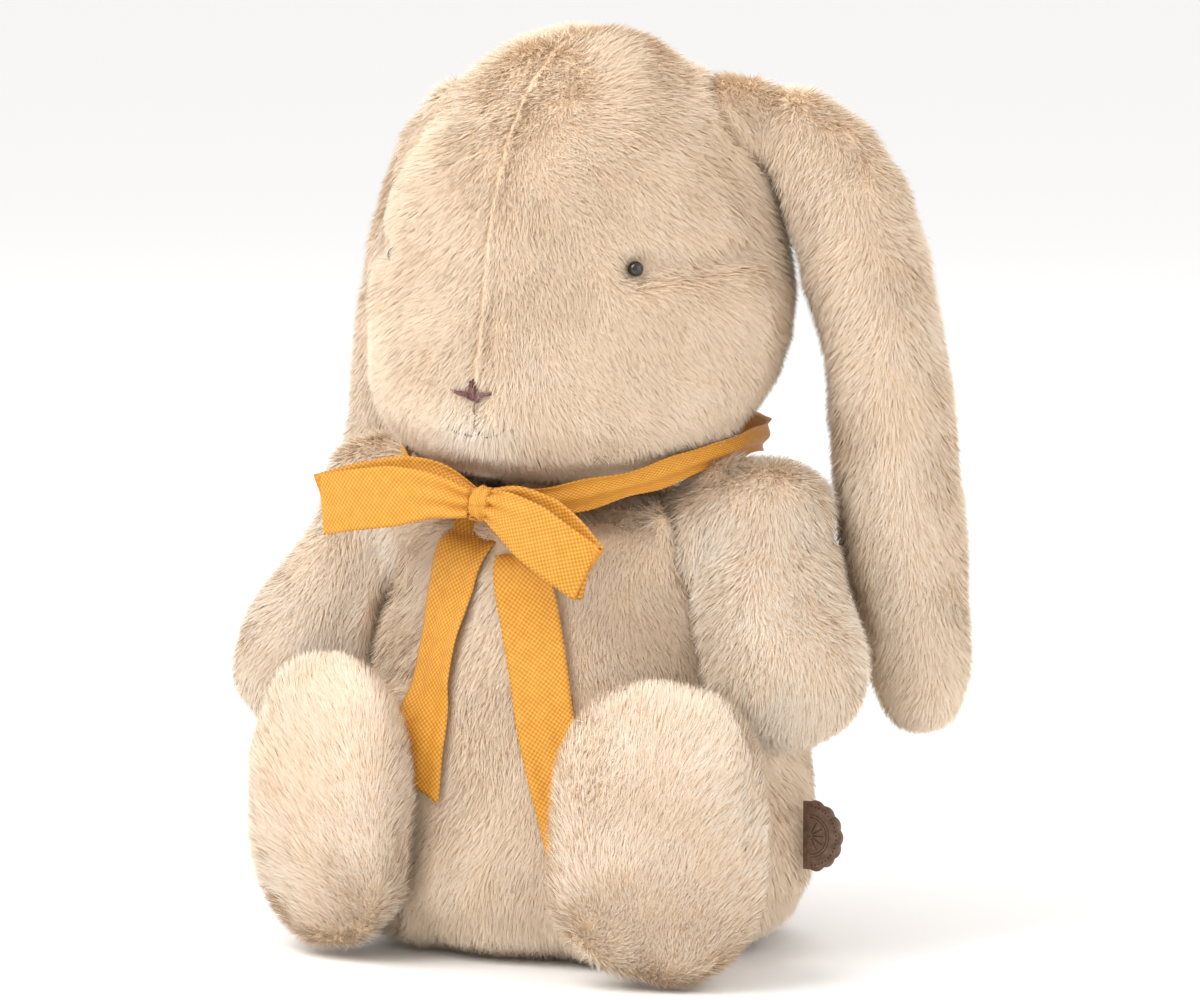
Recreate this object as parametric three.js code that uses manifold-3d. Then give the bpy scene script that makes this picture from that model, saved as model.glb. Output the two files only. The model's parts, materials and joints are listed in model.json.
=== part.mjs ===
// A sitting plush bunny with lop ears, soft sewn joints, a ribbon bow and a tag in its side seam.
// Millimetres, +Z up. The bunny faces -Y, its own left is +X, and the floor is z = 0.
import * as THREE from "three";
import { mergeVertices } from "three/addons/utils/BufferGeometryUtils.js";
import Module from "manifold-3d";

const wasm = await Module();
wasm.setup();

// ---- Driving sizes ----
const plush = 6; // backing and pile together
const gap = 0.3; // between pieces that touch
const jointGap = 1.2; // round a sewn joint that moves

const torso = { height: 152, halfWidth: 80, flatness: 0.9, seatRadius: 60 };
const neck = { radius: 28, sunk: 12 };
const head = { halfHeight: 74.5, halfWidth: 68, taper: 0.205, chinForward: 13, clearance: 3.5 };
const shoulder = { radius: 26, rise: 9, outside: 3, forward: 7, flatAt: 100, flatAzimuth: 80 };
const arm = { pawRadius: 29, topRadius: 25.5, topOutside: 8 };
const hip = { radius: 24, lift: 0.8, side: 47, sunk: 16 };
const foot = { halfWidth: 37.5, height: 100, halfDepth: 22, flatAt: 50 };
const leg = { tubeRadius: 20, ankleBehind: 10 };
const earKnuckle = { radius: 18, halfLength: 21, side: 45, below: 34.5, back: 24 };
const ear = { halfWidth: 29, halfThickness: 22.5, twist: 32 };
const eye = { radius: 3, sunk: 1.8, shankRadius: 1.2, shankLength: 10, height: 228 };
const eyeAzimuth = { left: 45, right: -50 };
const washer = { radius: 6, thickness: 1.4, depth: 7.4 };
const nose = { halfWidth: 7, halfHeight: 4.5, rise: 1.4, height: 187 };
const mouth = { threadRadius: 0.8, drop: 11, halfWidth: 13 };
const bob = { radius: 19, height: 34, outside: 5 };
const ribbon = { thickness: 0.8, width: 20, gatheredWidth: 5.4, lift: 1.2 };
const band = { above: 12, frontDrop: 16, clearance: 2.1 };
const knot = { width: 13, depth: 9, height: 13 };
const bowLoops = {
  right: { length: 54, turn: 186, droop: 4, full: 9 },
  left: { length: 44, turn: -6, droop: 27, full: 10 },
};
const bowTails = {
  right: { startX: -6, endX: -22, endZ: 56 },
  left: { startX: 6, endX: 34, endZ: 42 },
};
const tag = { radius: 12.5, thickness: 1.6, scallops: 7, scallopDepth: 0.6, height: 39, back: 8 };

const zAxis = new THREE.Vector3(0, 0, 1);
const headBottom = torso.height + head.clearance;
const headCentreZ = headBottom + head.halfHeight;
const neckCentre = new THREE.Vector3(0, 0, torso.height - neck.sunk);

// ---- Materials ----
const finish = (color, roughness, metalness = 0) =>
  new THREE.MeshStandardMaterial({ color, roughness, metalness });
const plushFabric = finish(0xecd9c0, 1);
const fibreFilling = finish(0xf4f2ee, 1);
const ribbonCloth = finish(0xe8a634, 0.7);
const blackPlastic = finish(0x17120f, 0.15);
const clearPlastic = finish(0xe6e6e2, 0.4);
const noseThread = finish(0x6d4038, 0.8);
const mouthThread = finish(0x9a8471, 0.8);
const tagLeather = finish(0x7a6152, 0.6);

// ---- Solids ----
function solid(geometry) {
  const bare = geometry.clone();
  bare.deleteAttribute("normal");
  bare.deleteAttribute("uv");
  const merged = mergeVertices(bare, 1e-4);
  return new wasm.Manifold(
    new wasm.Mesh({
      numProp: 3,
      vertProperties: new Float32Array(merged.attributes.position.array),
      triVerts: new Uint32Array(merged.index.array),
    }),
  );
}

function geometryOf(manifold) {
  const mesh = manifold.getMesh();
  const geometry = new THREE.BufferGeometry();
  geometry.setAttribute("position", new THREE.BufferAttribute(mesh.vertProperties, 3));
  geometry.setIndex(new THREE.BufferAttribute(mesh.triVerts, 1));
  geometry.computeVertexNormals();
  return geometry;
}

// Moves every vertex of a geometry to where place() puts it.
function shaped(geometry, place) {
  const position = geometry.attributes.position;
  const point = new THREE.Vector3();
  for (let i = 0; i < position.count; i += 1) {
    const moved = place(point.fromBufferAttribute(position, i));
    position.setXYZ(i, moved.x, moved.y, moved.z);
  }
  return geometry;
}

// How finely a surface is divided: the hidden insides are coarser than the outside.
function divided(count, inset) {
  return inset > 0 ? Math.round(count * 0.62) : count;
}

// A unit ball with its poles on Z, as the raw stock of every stuffed shape.
function ballStock(around, along) {
  return new THREE.SphereGeometry(1, around, along).rotateX(Math.PI / 2);
}

// A ball, or the pocket for one. Stretched, it is longer from front to back.
function ball(centre, radius, inset, stretchY = 0) {
  const stock = ballStock(divided(14, inset), divided(8, inset));
  return solid(stock.scale(radius, radius + stretchY, radius).translate(...centre.toArray()));
}

// How wide a rounded shape is at s, from -1 at one end to 1 at the other.
function roundness(s, power) {
  return Math.pow(Math.max(0, 1 - Math.pow(Math.abs(s), power)), 1 / power);
}

// A straight stuffed tube with ball ends.
function capsule(from, to, fromRadius, toRadius, inset) {
  const axis = new THREE.Vector3().subVectors(to, from);
  const length = axis.length();
  const turn = new THREE.Quaternion().setFromUnitVectors(zAxis, axis.normalize());
  const stock = shaped(ballStock(divided(18, inset), divided(10, inset)), (p) => {
    const radius = (p.z > 0 ? toRadius : fromRadius) - inset;
    const end = p.z > 0 ? length : 0;
    return new THREE.Vector3(p.x * radius, p.y * radius, end + p.z * radius);
  });
  return solid(stock.applyQuaternion(turn).translate(from.x, from.y, from.z));
}

// The rotation matrix of an angle in degrees about an axis through a pivot.
function turnAbout(pivot, axis, degrees) {
  const turn = new THREE.Matrix4().makeRotationAxis(axis, THREE.MathUtils.degToRad(degrees));
  const there = new THREE.Matrix4().makeTranslation(pivot.x, pivot.y, pivot.z);
  const back = new THREE.Matrix4().makeTranslation(-pivot.x, -pivot.y, -pivot.z);
  return there.multiply(turn).multiply(back);
}

// Flattens a limb against a plane on its neighbour at every stop of its swing, so that they never meet.
function flattened(limb, plane, { pivot, axis, stops }) {
  let flat = limb;
  for (const degrees of stops) {
    const turned = plane.clone().applyMatrix4(turnAbout(pivot, axis, -degrees));
    flat = flat.trimByPlane(turned.normal.toArray(), -turned.constant);
  }
  return flat;
}

// ---- Base shapes: each takes how far its surface lies inside the outer one ----
const torsoProfile = new THREE.SplineCurve([
  new THREE.Vector2(torso.seatRadius, 0),
  new THREE.Vector2(torso.halfWidth - 4, 10),
  new THREE.Vector2(torso.halfWidth, 30),
  new THREE.Vector2(torso.halfWidth - 0.6, 48),
  new THREE.Vector2(torso.halfWidth - 4, torso.height * 0.48),
  new THREE.Vector2(torso.halfWidth - 11, torso.height * 0.64),
  new THREE.Vector2(torso.halfWidth - 18, torso.height * 0.79),
  new THREE.Vector2(torso.halfWidth - 25, torso.height * 0.91),
  new THREE.Vector2(neck.radius + 8, torso.height * 0.98),
]);

function torsoRadius(z) {
  const points = torsoProfile.getPoints(80);
  const above = points.findIndex((p) => p.y >= z);
  const [low, high] = [points[Math.max(above - 1, 0)], points[above]];
  return THREE.MathUtils.mapLinear(z, low.y, high.y, low.x, high.x);
}

// Where the torso's front is at a place across and up.
function bellyY(x, z) {
  const radius = torsoRadius(z);
  return -torso.flatness * Math.sqrt(Math.max(0, radius * radius - x * x));
}

// The plane that touches the torso at an azimuth and height, moved out by a clearance.
function torsoPlane(azimuth, z, clearance) {
  const angle = THREE.MathUtils.degToRad(azimuth);
  const at = (turn, height) => {
    const radius = torsoRadius(height);
    return new THREE.Vector3(radius * Math.sin(turn), -radius * torso.flatness * Math.cos(turn), height);
  };
  const across = at(angle + 0.02, z).sub(at(angle - 0.02, z));
  const up = at(angle, z + 1).sub(at(angle, z - 1));
  const out = across.cross(up).normalize();
  return new THREE.Plane().setFromNormalAndCoplanarPoint(out, at(angle, z).addScaledVector(out, clearance));
}

function torsoGeometry(inset) {
  const squeeze = (torso.height - 2 * inset) / torso.height;
  const wall = torsoProfile.getPoints(divided(10, inset));
  const profile = [
    new THREE.Vector2(0, inset),
    ...wall.map((p) => new THREE.Vector2(p.x - inset, inset + p.y * squeeze)),
    new THREE.Vector2(0, torso.height - inset),
  ];
  const round = new THREE.LatheGeometry(profile, divided(30, inset)).rotateX(Math.PI / 2);
  return round.scale(1, torso.flatness, 1);
}

// How far the chin half of the head is pushed forward at a height.
function chinShift(z) {
  const start = headBottom + 60;
  const end = headBottom + 10;
  return -head.chinForward * THREE.MathUtils.smoothstep(start - z, 0, start - end);
}

// The head's half width at s, from -1 at the chin to 1 at the crown.
function headReach(s, inset) {
  const power = s > 0 ? 2.2 : 2.6;
  return (head.halfWidth - inset) * roundness(s, power) * (1 - head.taper * s);
}

function headGeometry(inset) {
  return shaped(ballStock(divided(26, inset), divided(16, inset)), (p) => {
    const s = THREE.MathUtils.clamp(p.z, -1, 1);
    const z = headCentreZ + (head.halfHeight - inset) * s;
    const reach = headReach(s, inset);
    const angle = Math.atan2(p.y, p.x);
    return new THREE.Vector3(reach * Math.cos(angle), reach * Math.sin(angle) + chinShift(z), z);
  });
}

// A place on the head's skin: azimuth 0 is straight ahead, positive to the bunny's left.
function headPoint(azimuth, z) {
  const angle = THREE.MathUtils.degToRad(azimuth);
  const reach = headReach((z - headCentreZ) / head.halfHeight, 0);
  return new THREE.Vector3(reach * Math.sin(angle), -reach * Math.cos(angle) + chinShift(z), z);
}

function headNormal(azimuth, z) {
  const up = headPoint(azimuth, z + 1).sub(headPoint(azimuth, z - 1));
  const across = headPoint(azimuth + 1, z).sub(headPoint(azimuth - 1, z));
  return across.cross(up).normalize();
}

// ---- Joints: where each limb is sewn on, the way it swings and how far ----
const sides = [
  { name: "left", sign: 1 },
  { name: "right", sign: -1 },
];

const shoulderZ = torso.height + shoulder.rise - shoulder.radius;
function shoulderOf({ sign }) {
  return {
    pivot: new THREE.Vector3(
      sign * (torsoRadius(shoulderZ) + shoulder.outside),
      -shoulder.forward,
      shoulderZ,
    ),
    axis: new THREE.Vector3(-0.5, -0.866 * sign, 0).normalize(),
    stops: [0],
  };
}

const hipZ = hip.radius + hip.lift;
function hipOf({ sign }) {
  const x = sign * hip.side;
  return {
    pivot: new THREE.Vector3(x, bellyY(x, hipZ) + hip.sunk, hipZ),
    axis: new THREE.Vector3(0, 0, sign),
    stops: [0, 6, 12],
  };
}

function earHingeOf({ sign }) {
  const z = headCentreZ + head.halfHeight - earKnuckle.below;
  return {
    pivot: new THREE.Vector3(sign * earKnuckle.side, earKnuckle.back, z),
    axis: new THREE.Vector3(0, -sign, 0),
    stops: [0, 40, 80],
  };
}

// How the two sides lie in the sitting pose, each measured from its own joint.
const armLie = {
  left: [25, -12, -37],
  right: [34, -12, -46],
};
const footLie = {
  left: { across: 23, ahead: 32, facing: 25 },
  right: { across: 7, ahead: 32, facing: 20 },
};
// Points along the middle of each ear: outwards, backwards and upwards of its hinge.
const earLie = {
  left: [
    [0, 0, 0],
    [20, 4, -3],
    [37, 5, -22],
    [46, 5, -48],
    [52, 6, -82],
    [55, 9, -116],
    [59, 11, -155],
    [62, 11, -181],
    [63, 11, -199],
  ],
  right: [
    [0, 0, 0],
    [18, 5, -3],
    [32, 12, -26],
    [40, 19, -58],
    [45, 24, -96],
    [53, 26, -138],
    [58, 27, -175],
    [59, 27, -199],
  ],
};

// ---- Head ----
const knuckleStretch = earKnuckle.halfLength - earKnuckle.radius;

function headSolid(inset) {
  const grown = jointGap + inset;
  let shape = solid(headGeometry(inset)).subtract(ball(neckCentre, neck.radius + grown, inset));
  for (const side of sides) {
    const pocket = ball(earHingeOf(side).pivot, earKnuckle.radius + grown, inset, knuckleStretch);
    shape = shape.subtract(pocket);
  }
  return shape;
}

// The frame of an eye: Z points out of the head.
function eyeMatrix({ name }) {
  const azimuth = eyeAzimuth[name];
  const out = headNormal(azimuth, eye.height);
  const turn = new THREE.Quaternion().setFromUnitVectors(zAxis, out);
  const place = headPoint(azimuth, eye.height).addScaledVector(out, -eye.sunk);
  return new THREE.Matrix4().compose(place, turn, new THREE.Vector3(1, 1, 1));
}

// A cylinder along an eye's own axis, from one depth to another.
function eyePin(matrix, radius, from, to) {
  const pin = new THREE.CylinderGeometry(radius, radius, to - from, 10).rotateX(Math.PI / 2);
  return solid(pin.translate(0, 0, (from + to) / 2).applyMatrix4(matrix));
}

function eyeBead(matrix, clearance) {
  const bead = new THREE.SphereGeometry(eye.radius + clearance, 12, 8).applyMatrix4(matrix);
  const shank = eyePin(matrix, eye.shankRadius + clearance, -eye.shankLength - clearance, 0);
  return solid(bead).add(shank);
}

function eyeWasher(matrix, clearance) {
  const top = -washer.depth + clearance;
  const bottom = -washer.depth - washer.thickness - clearance;
  return eyePin(matrix, washer.radius + clearance, bottom, top);
}

function noseSolid() {
  const out = headNormal(0, nose.height);
  const turn = new THREE.Quaternion().setFromUnitVectors(zAxis, out);
  const pad = ballStock(14, 8).scale(nose.halfWidth, nose.halfHeight, nose.rise + gap);
  const place = headPoint(0, nose.height);
  const matrix = new THREE.Matrix4().compose(place, turn, new THREE.Vector3(1, 1, 1));
  return solid(pad.applyMatrix4(matrix)).subtract(solid(headGeometry(-gap)));
}

// A thread laid on the face through places given as azimuth and height.
function threadOnFace(places, radius) {
  const off = radius + gap;
  const route = places.map(([azimuth, z]) =>
    headPoint(azimuth, z).addScaledVector(headNormal(azimuth, z), off),
  );
  const section = new THREE.Shape().absarc(0, 0, radius, 0, 2 * Math.PI);
  const path = new THREE.CatmullRomCurve3(route);
  const sweep = { steps: 6, bevelEnabled: false, curveSegments: 3, extrudePath: path };
  return solid(new THREE.ExtrudeGeometry(section, sweep));
}

function mouthSolid() {
  const top = nose.height - nose.halfHeight - 1;
  const bottom = top - mouth.drop;
  const reach = THREE.MathUtils.radToDeg(mouth.halfWidth / head.halfWidth);
  const down = threadOnFace([[0, top], [0, (top + bottom) / 2], [0, bottom]], mouth.threadRadius);
  const curl = (share) => [share * reach, bottom + 3 * share * share];
  const smile = threadOnFace([-1, -0.5, 0, 0.5, 1].map(curl), mouth.threadRadius);
  return down.add(smile);
}

// ---- Ears ----
// The ear's own frame along its length: where it is, which way is wide and which way is thick.
function earFrame(side, t) {
  const { pivot } = earHingeOf(side);
  const path = new THREE.CatmullRomCurve3(
    earLie[side.name].map(([out, back, up]) =>
      new THREE.Vector3(pivot.x + side.sign * out, pivot.y + back, pivot.z + up),
    ),
  );
  const inside = THREE.MathUtils.clamp(t, 0, 1);
  const along = path.getTangentAt(inside);
  const place = path.getPointAt(inside).addScaledVector(along, (t - inside) * path.getLength());
  const twist = THREE.MathUtils.degToRad(ear.twist) * THREE.MathUtils.smoothstep(t, 0.1, 0.45);
  const wide = new THREE.Vector3(side.sign * Math.sin(twist), -Math.cos(twist), 0);
  wide.addScaledVector(along, -wide.dot(along)).normalize();
  const thick = new THREE.Vector3().crossVectors(along, wide).multiplyScalar(-side.sign);
  return { place, wide, thick };
}

function earBlade(side, inset) {
  const stock = shaped(ballStock(divided(16, inset), divided(16, inset)), (p) => {
    const t = (1 - p.z) / 2;
    const frame = earFrame(side, t);
    const round = roundness(p.z, 3.2);
    const root = 0.72 + 0.28 * THREE.MathUtils.smoothstep(t, 0.02, 0.5);
    const angle = Math.atan2(p.y, p.x);
    const wide = (ear.halfWidth * root * round - inset * Math.min(1, round * 2)) * Math.cos(angle);
    const thick = (ear.halfThickness * round - inset * Math.min(1, round * 2)) * Math.sin(angle);
    const shrunk = frame.place.clone().addScaledVector(frame.wide, wide);
    return shrunk.addScaledVector(frame.thick, thick);
  });
  return turnedOut(stock);
}

// The same surface with its faces turned to the other side.
function flipped(geometry) {
  const turned = geometry.clone();
  const index = turned.index.array;
  for (let i = 0; i < index.length; i += 3) {
    const second = index[i + 1];
    index[i + 1] = index[i + 2];
    index[i + 2] = second;
  }
  return turned;
}

// A solid of a surface whose faces may look inwards.
function turnedOut(geometry) {
  const made = solid(geometry);
  return made.volume() < 0 ? solid(flipped(geometry)) : made;
}

// The plane that touches the head at an azimuth and height, moved out by a clearance.
function headPlane(azimuth, z, clearance) {
  const out = headNormal(azimuth, z);
  const place = headPoint(azimuth, z).addScaledVector(out, clearance);
  return new THREE.Plane().setFromNormalAndCoplanarPoint(out, place);
}

function earSolid(side, inset) {
  const hinge = { ...earHingeOf(side), stops: [0] };
  const blade = earBlade(side, inset);
  const azimuth = side.sign * 100;
  const over = flattened(blade, headPlane(azimuth, hinge.pivot.z - 4, jointGap + inset), hinge);
  const beside = flattened(blade, headPlane(azimuth, hinge.pivot.z - 50, jointGap + inset), hinge);
  const knuckle = ball(hinge.pivot, earKnuckle.radius - inset, inset, knuckleStretch);
  return largest(over.add(beside)).add(knuckle);
}

// A cut can leave slivers behind: only the main body of the piece is kept.
function largest(shape) {
  const bodies = shape.decompose();
  return bodies.reduce((best, body) => (body.volume() > best.volume() ? body : best), bodies[0]);
}

// Everything on the outer side of an ear's edge seam.
function earOuterSide(side, offset) {
  const slab = shaped(new THREE.BoxGeometry(2, 2, 2, 1, 1, 18), (p) => {
    const frame = earFrame(side, 0.5 + 0.62 * p.z);
    const thick = p.y > 0 ? 3 * ear.halfThickness : offset;
    const place = frame.place.clone().addScaledVector(frame.wide, p.x * 2 * ear.halfWidth);
    return place.addScaledVector(frame.thick, thick);
  });
  return turnedOut(slab);
}

// ---- Torso ----
function torsoSolid(inset) {
  const grown = jointGap + inset;
  let shape = solid(torsoGeometry(inset)).add(ball(neckCentre, neck.radius - inset, inset));
  for (const side of sides) {
    shape = shape.subtract(ball(shoulderOf(side).pivot, shoulder.radius + grown, inset));
    shape = shape.subtract(ball(hipOf(side).pivot, hip.radius + grown, inset));
  }
  return shape;
}

const bobCentre = new THREE.Vector3(0, -bellyY(0, bob.height) + bob.outside, bob.height);

// The bob tail, flattened where it is sewn to the back.
function bobSolid(inset) {
  const back = torsoPlane(180, bob.height, gap + 0.3);
  const sewn = { pivot: bobCentre, axis: zAxis, stops: [0] };
  return flattened(ball(bobCentre, bob.radius - inset, inset), back, sewn);
}

// ---- Limbs ----
function armSolid(side, inset) {
  const joint = shoulderOf(side);
  const { pivot } = joint;
  const [out, ahead, up] = armLie[side.name];
  const paw = new THREE.Vector3(pivot.x + side.sign * out, pivot.y + ahead, pivot.z + up);
  const top = new THREE.Vector3(pivot.x + side.sign * arm.topOutside, pivot.y, pivot.z);
  const tube = capsule(top, paw, arm.topRadius, arm.pawRadius, inset);
  const flank = torsoPlane(side.sign * shoulder.flatAzimuth, shoulder.flatAt, jointGap + inset);
  const beside = flattened(tube, flank, joint);
  return beside.add(ball(pivot, shoulder.radius - inset, inset));
}

function armAxis(side) {
  const [out, ahead, up] = armLie[side.name];
  return new THREE.Vector3(side.sign * out, ahead, up).normalize();
}

// The foot's place and the way its sole faces.
function footOf(side) {
  const { pivot } = hipOf(side);
  const lie = footLie[side.name];
  const facing = THREE.MathUtils.degToRad(lie.facing);
  return {
    centre: new THREE.Vector3(pivot.x + side.sign * lie.across, pivot.y - lie.ahead, foot.height / 2),
    ahead: new THREE.Vector3(side.sign * Math.sin(facing), -Math.cos(facing), 0),
  };
}

function footPaddle(side, inset) {
  const { centre, ahead } = footOf(side);
  const across = new THREE.Vector3(-ahead.y, ahead.x, 0);
  const stock = shaped(ballStock(divided(18, inset), divided(12, inset)), (p) => {
    const square = roundness(p.z, 2.6) / Math.max(1e-6, roundness(p.z, 2));
    const wide = p.x * (foot.halfWidth - inset) * square;
    const deep = p.y * (foot.halfDepth - inset);
    const place = centre.clone().addScaledVector(across, wide).addScaledVector(ahead, -deep);
    place.z += p.z * (foot.height / 2 - inset);
    return place;
  });
  return turnedOut(stock);
}

function legSolid(side, inset) {
  const joint = hipOf(side);
  const { pivot } = joint;
  const { centre, ahead } = footOf(side);
  const ankle = centre.clone().addScaledVector(ahead, -leg.ankleBehind).setZ(leg.tubeRadius + hip.lift);
  const root = pivot.clone().setZ(leg.tubeRadius + hip.lift);
  const tube = capsule(root, ankle, leg.tubeRadius, leg.tubeRadius, inset);
  const outside = footPaddle(side, inset).add(tube);
  const azimuth = THREE.MathUtils.radToDeg(Math.atan2(centre.x, -centre.y / torso.flatness));
  const cleared = flattened(outside, torsoPlane(azimuth, foot.flatAt, jointGap + inset), joint);
  return largest(cleared).add(ball(pivot, hip.radius - inset, inset));
}

// ---- Ribbon ----
const bandSideZ = headBottom + band.above;
const bandTop = (bandSideZ + ribbon.gatheredWidth / 2 - headCentreZ) / head.halfHeight;
const bandRadius = headReach(bandTop, 0) + band.clearance;

// The height of the band round the neck: lowest at the front, where the bow hangs.
function bandHeight(y) {
  const ahead = Math.max(0, -y) / bandRadius;
  return bandSideZ - band.frontDrop * Math.pow(ahead, 1.6);
}

function bandGeometry() {
  const half = ribbon.gatheredWidth / 2;
  const outer = bandRadius + 2 * ribbon.thickness;
  const profile = [
    new THREE.Vector2(bandRadius, -half),
    new THREE.Vector2(outer, -half),
    new THREE.Vector2(outer, half),
    new THREE.Vector2(bandRadius, half),
    new THREE.Vector2(bandRadius, -half),
  ];
  const ring = new THREE.LatheGeometry(profile, 36);
  return shaped(ring.rotateX(Math.PI / 2), (p) => new THREE.Vector3(p.x, p.y, p.z + bandHeight(p.y)));
}

// A teardrop of doubled ribbon, pointing along +X from the knot.
function loopGeometry(length, fullness) {
  const outline = (grow) => {
    const curve = new THREE.SplineCurve([
      new THREE.Vector2(-grow, 0),
      new THREE.Vector2(length * 0.35, fullness * 0.36 + grow),
      new THREE.Vector2(length * 0.8, fullness * 0.5 + grow),
      new THREE.Vector2(length + grow, 0),
      new THREE.Vector2(length * 0.8, -fullness * 0.5 - grow),
      new THREE.Vector2(length * 0.35, -fullness * 0.36 - grow),
      new THREE.Vector2(-grow, 0),
    ]);
    return curve.getPoints(18).slice(0, -1);
  };
  const shape = new THREE.Shape(outline(ribbon.thickness));
  shape.holes.push(new THREE.Path(outline(0).reverse()));
  const doubled = new THREE.ExtrudeGeometry(shape, { depth: ribbon.width, bevelEnabled: false, steps: 1 });
  return shaped(doubled.translate(0, 0, -ribbon.width / 2), (p) => {
    const spread = THREE.MathUtils.lerp(0.45, 1, THREE.MathUtils.smoothstep(p.x, 0, length * 0.7));
    return new THREE.Vector3(p.x, p.y, p.z * spread);
  });
}

// A flat strip that lies on the belly, from the knot to its cut end.
function tailGeometry(startX, endX, endZ) {
  const startZ = knotCentre.z - knot.height / 2 - gap;
  return shaped(new THREE.BoxGeometry(1, 1, 1, 2, 1, 12), (p) => {
    const t = 0.5 - p.z;
    const slant = p.x * Math.sign(endX - startX) * ribbon.width * 0.5 * t * t;
    const z = THREE.MathUtils.lerp(startZ, endZ, t) + slant;
    const width = ribbon.width * THREE.MathUtils.lerp(0.5, 1, THREE.MathUtils.smoothstep(t, 0, 0.3));
    const x = THREE.MathUtils.lerp(startX, endX, Math.pow(t, 0.8)) + p.x * width;
    const lie = bellyY(x, Math.max(z, 20)) - ribbon.lift - ribbon.thickness / 2;
    const hang = knotCentre.y;
    const y = THREE.MathUtils.lerp(hang, lie, THREE.MathUtils.smoothstep(t, 0.02, 0.55));
    return new THREE.Vector3(x, Math.min(y, lie) + p.y * ribbon.thickness, z);
  });
}

const knotCentre = new THREE.Vector3(
  0,
  -bandRadius - 2 * ribbon.thickness - gap - knot.depth / 2,
  bandHeight(-bandRadius),
);

// ---- Tag ----
function tagGeometry() {
  const outline = [];
  const steps = tag.scallops * 4;
  for (let i = 0; i <= steps; i += 1) {
    const angle = -Math.PI / 2 + (Math.PI * i) / steps;
    const wave = Math.abs(Math.sin((tag.scallops * Math.PI * i) / steps));
    const radius = tag.radius - tag.scallopDepth * (1 - wave);
    outline.push(new THREE.Vector2(radius * Math.cos(angle), radius * Math.sin(angle)));
  }
  const shape = new THREE.Shape(outline);
  const cut = new THREE.ExtrudeGeometry(shape, { depth: tag.thickness, bevelEnabled: false });
  return cut.rotateX(Math.PI / 2);
}

// ---- Assembly ----
const bunny = new THREE.Group();

function piece(parent, name, shape, material) {
  const geometry = shape.isBufferGeometry ? shape : geometryOf(shape);
  const mesh = new THREE.Mesh(geometry, material);
  mesh.name = name;
  parent.add(mesh);
  return mesh;
}

// Parts a sewn skin into the panels on the two sides of a plane.
function addPanels(parent, skin, normal, point, names) {
  const offset = normal.dot(point);
  const [x, y, z] = normal.toArray();
  piece(parent, names[0], largest(skin.trimByPlane([x, y, z], offset + gap / 2)), plushFabric);
  piece(parent, names[1], largest(skin.trimByPlane([-x, -y, -z], -offset + gap / 2)), plushFabric);
}

function addTorso() {
  const body = new THREE.Group();
  bunny.add(body);
  const skin = torsoSolid(0).subtract(torsoSolid(plush));
  const seamZ = plush + 2;
  const base = skin.trimByPlane([0, 0, -1], -seamZ + gap / 2);
  const upper = skin.trimByPlane([0, 0, 1], seamZ + gap / 2);
  const seam = new THREE.Vector3(0, tag.back, 0);
  addPanels(body, upper, new THREE.Vector3(0, -1, 0), seam, ["body_front_panel", "body_back_panel"]);
  piece(body, "body_base_panel", largest(base), plushFabric);
  piece(body, "body_stuffing", largest(torsoSolid(plush + gap)), fibreFilling);
  const bobSkin = bobSolid(0).subtract(ball(bobCentre, bob.radius - plush, plush));
  piece(body, "bob_tail_skin", largest(bobSkin), plushFabric);
  piece(body, "bob_tail_stuffing", largest(bobSolid(plush + gap)), fibreFilling);
}

function addHead() {
  const body = new THREE.Group();
  bunny.add(body);
  let skin = headSolid(0).subtract(headSolid(plush));
  let stuffing = headSolid(plush + gap);
  for (const side of sides) {
    const matrix = eyeMatrix(side);
    const bead = eyeBead(matrix, 0);
    skin = skin.subtract(eyeBead(matrix, gap));
    stuffing = stuffing.subtract(eyeBead(matrix, gap)).subtract(eyeWasher(matrix, gap));
    piece(body, `eye_${side.name}`, bead, blackPlastic);
    const disc = eyeWasher(matrix, 0).subtract(eyeBead(matrix, gap));
    piece(body, `eye_washer_${side.name}`, disc, clearPlastic);
  }
  const names = ["head_panel_left", "head_panel_right"];
  addPanels(body, skin, new THREE.Vector3(1, 0, 0), new THREE.Vector3(), names);
  piece(body, "head_stuffing", largest(stuffing), fibreFilling);
  piece(body, "nose_embroidery", largest(noseSolid()), noseThread);
  piece(body, "mouth_stitch", mouthSolid(), mouthThread);
}

function addEar(side) {
  const body = new THREE.Group();
  bunny.add(body);
  const skin = earSolid(side, 0).subtract(earSolid(side, plush));
  const outer = skin.intersect(earOuterSide(side, gap / 2));
  const lining = skin.subtract(earOuterSide(side, -gap / 2));
  piece(body, `ear_${side.name}_outer`, largest(outer), plushFabric);
  piece(body, `ear_${side.name}_lining`, largest(lining), plushFabric);
  piece(body, `ear_${side.name}_padding`, largest(earSolid(side, plush + gap)), fibreFilling);
}

function addArm(side) {
  const body = new THREE.Group();
  bunny.add(body);
  const skin = armSolid(side, 0).subtract(armSolid(side, plush));
  const along = armAxis(side);
  const across = new THREE.Vector3(0, -1, 0).addScaledVector(along, along.y).normalize();
  const outward = new THREE.Vector3().crossVectors(across, along).multiplyScalar(side.sign);
  const names = [`arm_${side.name}_outer_panel`, `arm_${side.name}_inner_panel`];
  addPanels(body, skin, outward, shoulderOf(side).pivot, names);
  piece(body, `arm_${side.name}_stuffing`, largest(armSolid(side, plush + gap)), fibreFilling);
}

function addLeg(side) {
  const body = new THREE.Group();
  bunny.add(body);
  const skin = legSolid(side, 0).subtract(legSolid(side, plush));
  const { centre, ahead } = footOf(side);
  addPanels(body, skin, ahead, centre, [`foot_${side.name}_sole`, `leg_${side.name}_skin`]);
  piece(body, `leg_${side.name}_stuffing`, largest(legSolid(side, plush + gap)), fibreFilling);
}

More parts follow.
